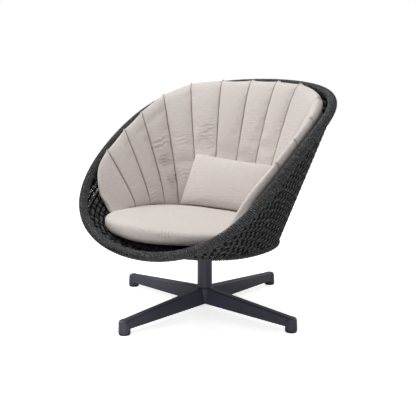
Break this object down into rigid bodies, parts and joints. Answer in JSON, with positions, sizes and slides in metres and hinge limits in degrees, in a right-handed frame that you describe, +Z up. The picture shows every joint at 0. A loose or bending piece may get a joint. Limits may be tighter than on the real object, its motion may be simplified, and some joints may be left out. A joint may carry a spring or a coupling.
{
  "type": "swivel lounge chair",
  "caption": "Deep bucket lounge chair of charcoal woven rope on a low swivelling star base, with a seat cushion, a channelled wrap-around back cushion and a lumbar pillow.",
  "frame": {"origin": "on the floor under the swivel axis, which is also the middle of the whole chair's box in plan", "axes": "+Z up along the swivel axis, +X to the sitter's left, +Y towards the back of the chair"},
  "size_m": [0.8708, 0.8224, 0.829],
  "materials": {
    "base_coat": "fine matt powder coat, near-black charcoal with a blue tint",
    "frame_coat": "matt powder coat",
    "glide_plastic": "moulded, matt",
    "bush_plastic": "turned, satin",
    "bearing_bronze": "plain bearing bronze, satin",
    "steel": "zinc plated",
    "spring_steel": "blackened",
    "rope": "charcoal woven rope",
    "cushion_fabric": "light warm greige plain weave"
  },
  "bodies": {
    "base": {"star_base": "base_coat", "foot_glide_front": "glide_plastic", "foot_glide_back": "glide_plastic", "foot_glide_left": "glide_plastic", "foot_glide_right": "glide_plastic", "column_tube": "base_coat", "lower_bush": "bush_plastic", "upper_bush": "bush_plastic", "thrust_washer": "bearing_bronze"},
    "seat": {"spindle": "steel", "spindle_washer": "steel", "spindle_clip": "spring_steel", "swivel_collar": "base_coat", "swivel_plate": "frame_coat", "plate_bolts": "steel", "plate_washers": "steel", "crossbar_front": "frame_coat", "crossbar_rear": "frame_coat", "seat_ring": "frame_coat", "rim_tube": "frame_coat", "rib_01": "frame_coat", "rib_02": "frame_coat", "rib_03": "frame_coat", "rib_04": "frame_coat", "rib_05": "frame_coat", "rib_06": "frame_coat", "rib_07": "frame_coat", "rib_08": "frame_coat", "rib_09": "frame_coat", "rib_10": "frame_coat", "rib_11": "frame_coat", "rib_12": "frame_coat", "ring_lashing": "rope", "rim_lashing": "rope", "shell_weave": "rope", "seat_deck": "rope", "seat_cushion": "cushion_fabric", "back_cushion": "cushion_fabric", "lumbar_pillow": "cushion_fabric"}
  },
  "joints": [
    {"name": "swivel", "type": "hinge", "parent": "base", "child": "seat", "pos_m": [0, 0, 0.236], "axis": [0, 0, 1], "continuous": true}
  ]
}
